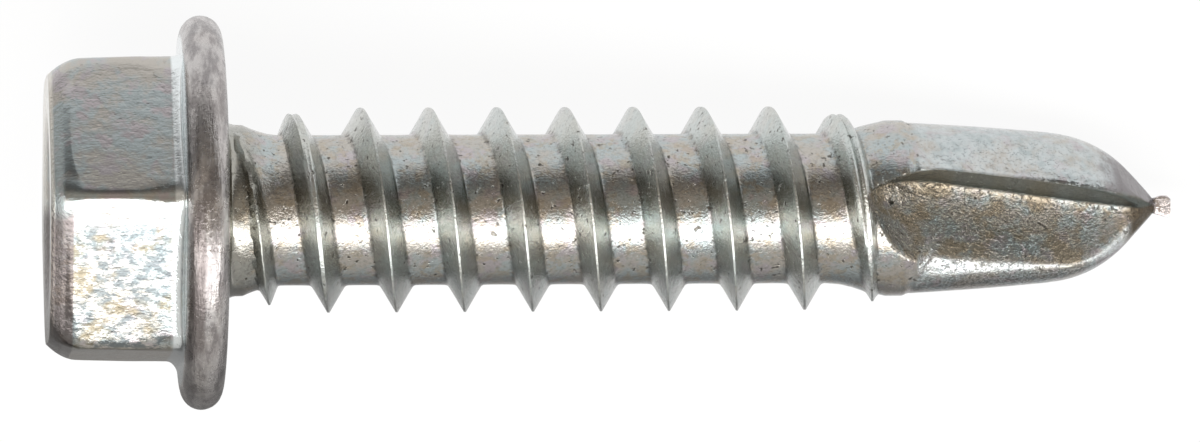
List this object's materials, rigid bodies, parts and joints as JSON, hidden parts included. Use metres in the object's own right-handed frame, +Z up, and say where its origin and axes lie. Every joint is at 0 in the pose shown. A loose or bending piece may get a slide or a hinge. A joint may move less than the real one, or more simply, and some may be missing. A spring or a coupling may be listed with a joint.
{
  "type": "self drilling screw",
  "caption": "Hex washer head self drilling screw with a right-hand thread, a low collar behind a fluted drill point, and a plain metal finish.",
  "frame": {"origin": "centre of the bearing face under the washer, on the screw's axis", "axes": "the screw lies on its side: +X runs from the head towards the drill point, sunk 9.0 degrees below level because the washer's rim and a thread crest rest on the floor; +Z is up; one drill flute faces up and a little to the side, the other faces the floor"},
  "size_m": [0.0302, 0.0105, 0.0104],
  "materials": {
    "plated_steel": "zinc plated steel, worn and slightly stained"
  },
  "bodies": {
    "root": {"screw": "plated_steel"}
  },
  "joints": []
}
